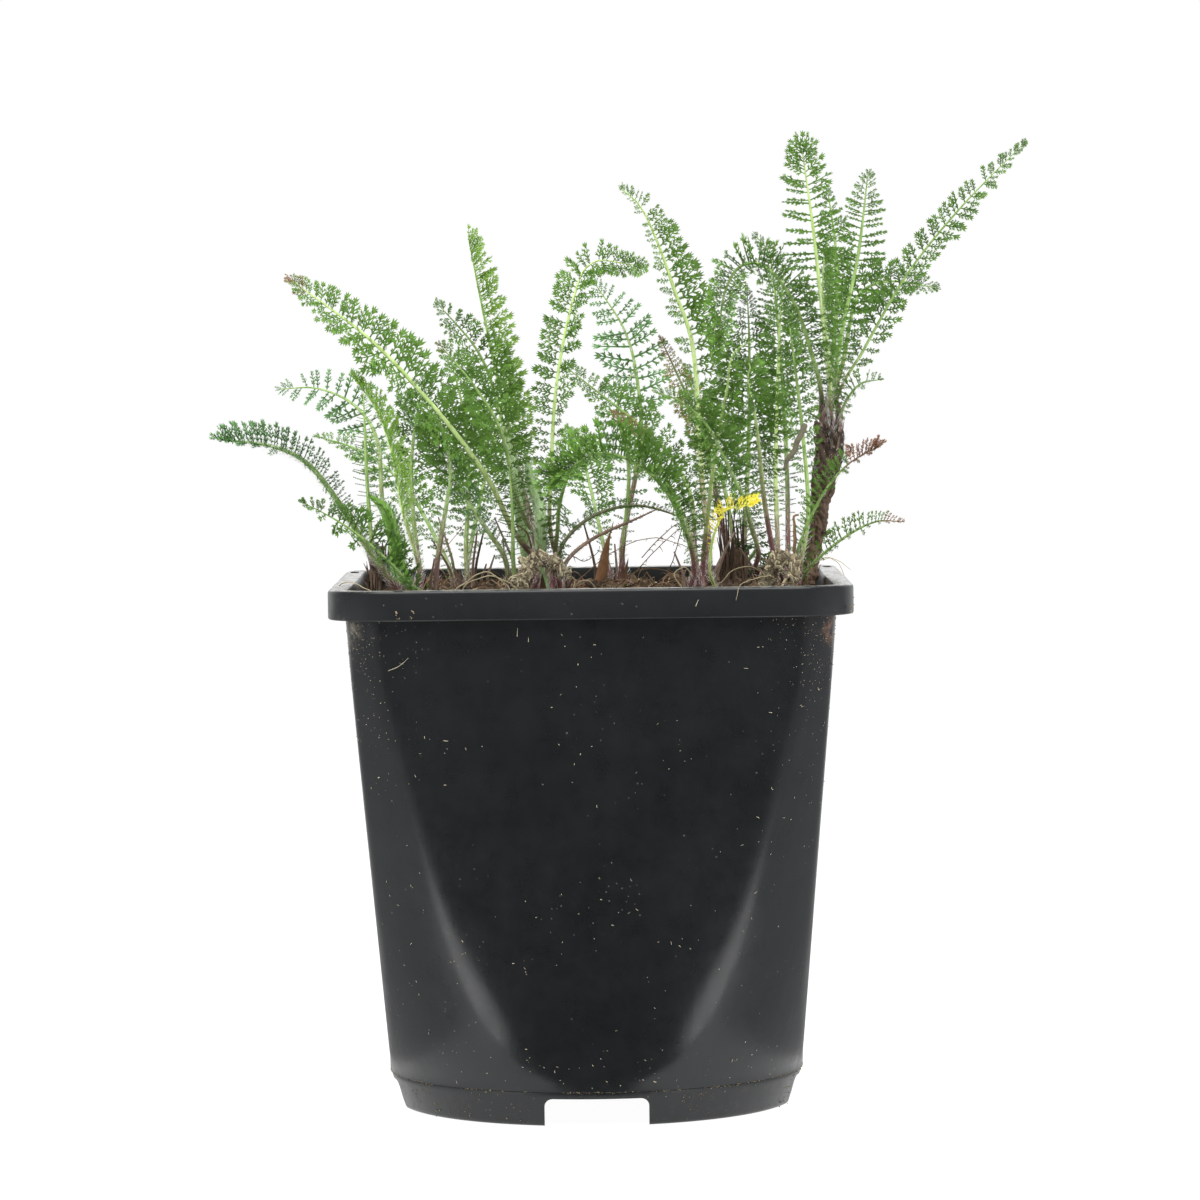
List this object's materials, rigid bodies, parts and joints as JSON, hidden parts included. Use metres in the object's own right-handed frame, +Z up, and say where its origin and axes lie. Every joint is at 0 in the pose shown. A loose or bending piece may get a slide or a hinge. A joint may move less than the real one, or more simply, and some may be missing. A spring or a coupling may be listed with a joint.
{
  "type": "potted yarrow plant",
  "caption": "Young yarrow plant: arching feathery fronds and a short woody shoot in dark potting mix, in a square-topped, round-footed black nursery pot.",
  "frame": {"origin": "bottom centre of the bounding box of the whole plant and pot, on the surface that the pot stands on; the pot's own axis stands 11.3 mm to -X and 7.7 mm to -Y of it", "axes": "+X to the right as pictured, +Y away from the viewer, +Z up"},
  "size_m": [0.2196, 0.1554, 0.2632],
  "materials": {
    "pot": "satin black moulded plastic",
    "soil": "dark brown peat-based potting mix, crumbly",
    "bark": "rough brown bark",
    "crown": "purple-red young growth, hairy",
    "fur": "beige woolly hair over curled leaf",
    "leaf_green": "mid-green finely hairy leaf",
    "leaf_bright": "bright yellow-green leaf",
    "leaf_yellow": "yellowed leaf",
    "leaf_dry": "dry brown leaf"
  },
  "bodies": {
    "root": {"crown_b": "crown", "curled_bud": "fur", "curled_leaf": "fur", "dead_leaf": "leaf_dry", "frond_a1": "leaf_bright", "frond_a2": "leaf_green", "frond_a3": "leaf_green", "frond_a4": "leaf_green", "frond_a5": "leaf_green", "frond_b1": "leaf_bright", "frond_b10": "leaf_dry", "frond_b2": "leaf_green", "frond_b3": "leaf_green", "frond_b4": "leaf_green", "frond_b5": "leaf_green", "frond_b6": "leaf_green", "frond_b7": "leaf_bright", "frond_b8": "leaf_bright", "frond_b9": "leaf_green", "frond_c1": "leaf_green", "frond_c2": "leaf_bright", "frond_c3": "leaf_green", "frond_c4": "leaf_yellow", "frond_c5": "leaf_green", "frond_c6": "leaf_green", "frond_d1": "leaf_green", "frond_d2": "leaf_green", "frond_d3": "leaf_green", "frond_d4": "leaf_green", "frond_e1": "leaf_green", "frond_e2": "leaf_green", "frond_e3": "leaf_green", "frond_e4": "leaf_green", "frond_e5": "leaf_green", "frond_e6": "leaf_green", "frond_e7": "leaf_green", "frond_f1": "leaf_bright", "frond_f2": "leaf_green", "frond_f3": "leaf_green", "frond_f4": "leaf_green", "frond_f5": "leaf_green", "frond_f6": "leaf_green", "frond_f7": "leaf_green", "frond_f8": "leaf_bright", "frond_g1": "leaf_green", "frond_g2": "leaf_green", "frond_g3": "leaf_green", "frond_h1": "leaf_green", "frond_h2": "leaf_green", "frond_k1": "leaf_green", "frond_k2": "leaf_green", "frond_k3": "leaf_green", "frond_l1": "leaf_green", "frond_l2": "leaf_green", "frond_l3": "leaf_green", "old_stump": "bark", "pot": "pot", "potting_mix": "soil", "woody_shoot": "bark"}
  },
  "joints": []
}
